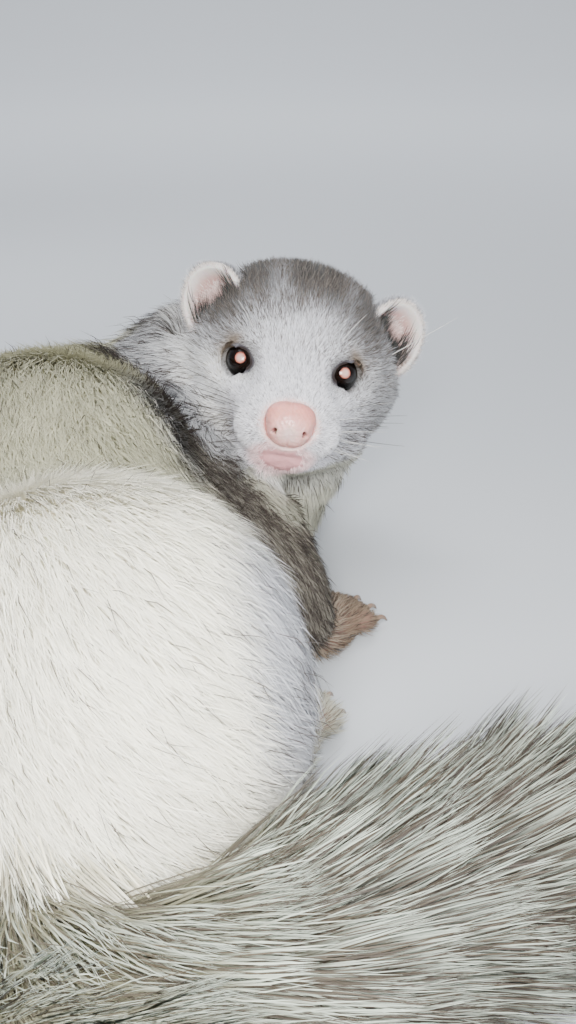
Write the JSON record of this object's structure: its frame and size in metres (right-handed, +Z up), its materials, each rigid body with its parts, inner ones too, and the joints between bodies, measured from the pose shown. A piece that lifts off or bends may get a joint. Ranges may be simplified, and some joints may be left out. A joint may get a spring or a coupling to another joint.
{
  "type": "ferret",
  "caption": "Ferret lying curled on its belly and hip, its head raised and turned back over its body, its bushy tail swept forward along the floor.",
  "frame": {"origin": "on the floor, under the loin, on the flat of the belly", "axes": "+Z up; the head looks along -Y, towards the side from which the tail sweeps; +X is towards the tail's tip, on the inner side of the curl"},
  "size_m": [0.1955, 0.2062, 0.0752],
  "materials": {
    "coat_pale": "dense cream fur, matt, with sparse dark guard hairs",
    "coat_head": "short silver-white face fur, grey-brown on the crown and nape",
    "coat_dark": "grey-brown fur on shoulder and foreleg",
    "coat_tail": "long coarse hair, brown-grey with pale tips",
    "paw_skin": "sparsely furred skin, matt",
    "ear_skin": "pale pink skin with a fine white nap",
    "nose_skin": "bare pink skin, slightly moist",
    "eye_wet": "wet, very glossy black-brown"
  },
  "bodies": {
    "root": {"chest": "coat_pale", "loin": "coat_pale", "rump": "coat_pale", "hindleg_right": "coat_pale", "hindleg_left": "coat_pale", "head": "coat_head", "neck": "coat_head", "foreleg_right": "coat_dark", "foreleg_left": "coat_dark", "tail_base": "coat_tail", "tail_brush": "coat_tail", "forepaw_right": "paw_skin", "forepaw_left": "paw_skin", "hindpaw_right": "paw_skin", "hindpaw_left": "paw_skin", "ear_right": "ear_skin", "ear_left": "ear_skin", "nose": "nose_skin", "eye_right": "eye_wet", "eye_left": "eye_wet"}
  },
  "joints": []
}
